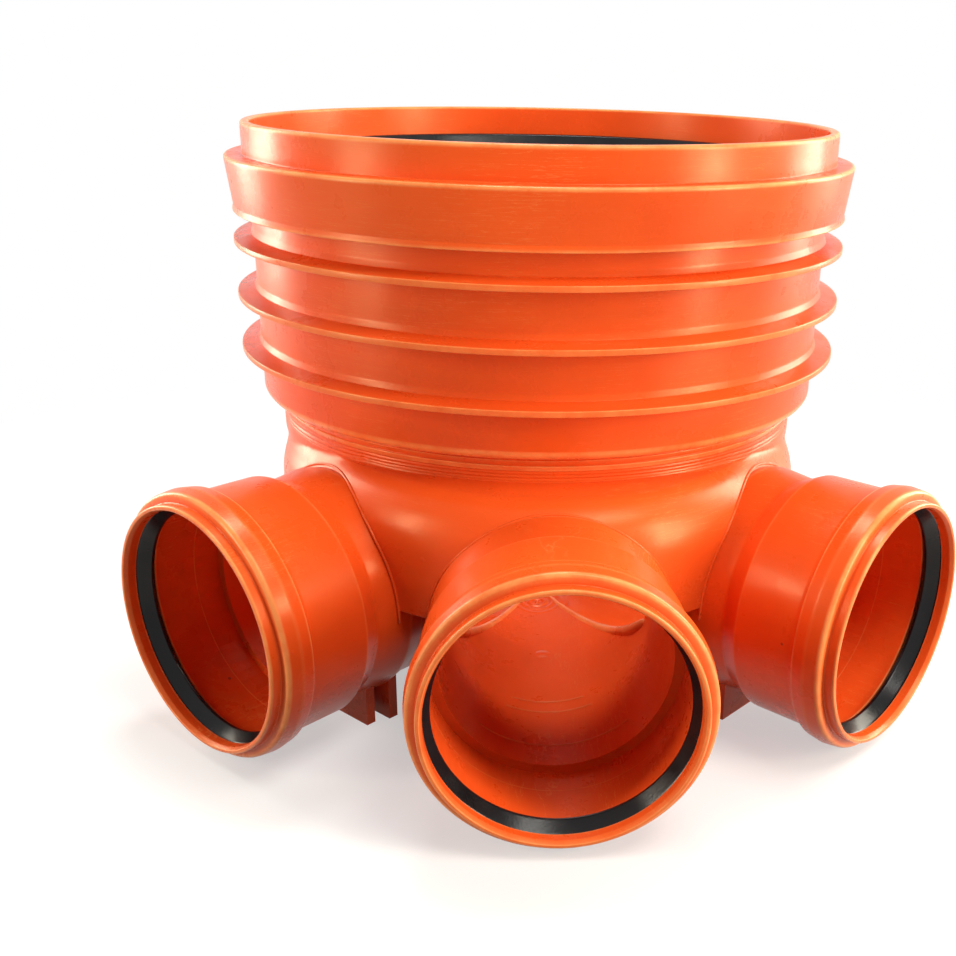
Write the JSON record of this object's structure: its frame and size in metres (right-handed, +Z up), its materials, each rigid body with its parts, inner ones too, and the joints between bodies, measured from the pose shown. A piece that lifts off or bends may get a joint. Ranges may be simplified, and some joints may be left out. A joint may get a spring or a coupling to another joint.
{
  "type": "drain inspection chamber",
  "caption": "Shallow plastic inspection chamber: channelled base with sealed pipe sockets and a ribbed socket for a riser pipe.",
  "frame": {"origin": "on the floor that the feet stand on, below the riser's axis, which is the middle of the footprint", "axes": "+Z up along the riser, +Y along the straight-through run towards the outlet, -Y out of the front inlet"},
  "size_m": [0.5848, 0.712, 0.3962],
  "materials": {
    "moulded_plastic": "satin, lightly scuffed polypropylene",
    "seal_rubber": "smooth with a light sheen"
  },
  "bodies": {
    "root": {"base": "moulded_plastic", "riser_socket": "moulded_plastic", "riser_seal": "seal_rubber", "front_inlet_seal": "seal_rubber", "left_inlet_seal": "seal_rubber", "right_inlet_seal": "seal_rubber", "outlet_seal": "seal_rubber"}
  },
  "joints": []
}
